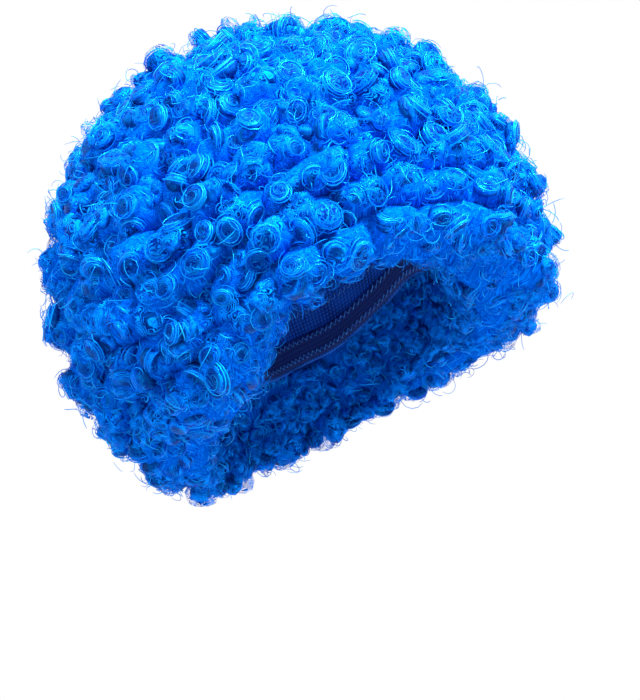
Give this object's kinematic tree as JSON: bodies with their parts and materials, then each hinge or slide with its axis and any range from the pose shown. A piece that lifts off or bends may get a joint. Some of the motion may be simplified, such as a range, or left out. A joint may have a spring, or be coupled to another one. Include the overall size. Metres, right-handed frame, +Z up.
{
  "type": "clown wig",
  "caption": "Round curly clown wig: a soft cap with a rim band, covered by rings of tight ringlets that form a ball round an open face.",
  "frame": {"origin": "the top of the hollow, where the crown of the head touches the inside of the cap", "axes": "+Z up through the crown, -Y towards the face opening, +X towards the wearer's left"},
  "size_m": [0.2933, 0.2962, 0.2675],
  "materials": {
    "curled_fibre": "bright blue synthetic fibre in tight, glossy ringlets",
    "cap_knit": "blue knitted net, matt",
    "band_elastic": "dark blue ribbed elastic, matt"
  },
  "bodies": {
    "root": {"cap": "cap_knit", "rim_band": "band_elastic", "crown_tuft": "curled_fibre", "weft_1": "curled_fibre", "weft_2": "curled_fibre", "weft_3": "curled_fibre", "weft_4": "curled_fibre", "weft_5": "curled_fibre", "weft_6": "curled_fibre", "weft_7": "curled_fibre", "weft_8": "curled_fibre", "weft_9": "curled_fibre"}
  },
  "joints": []
}
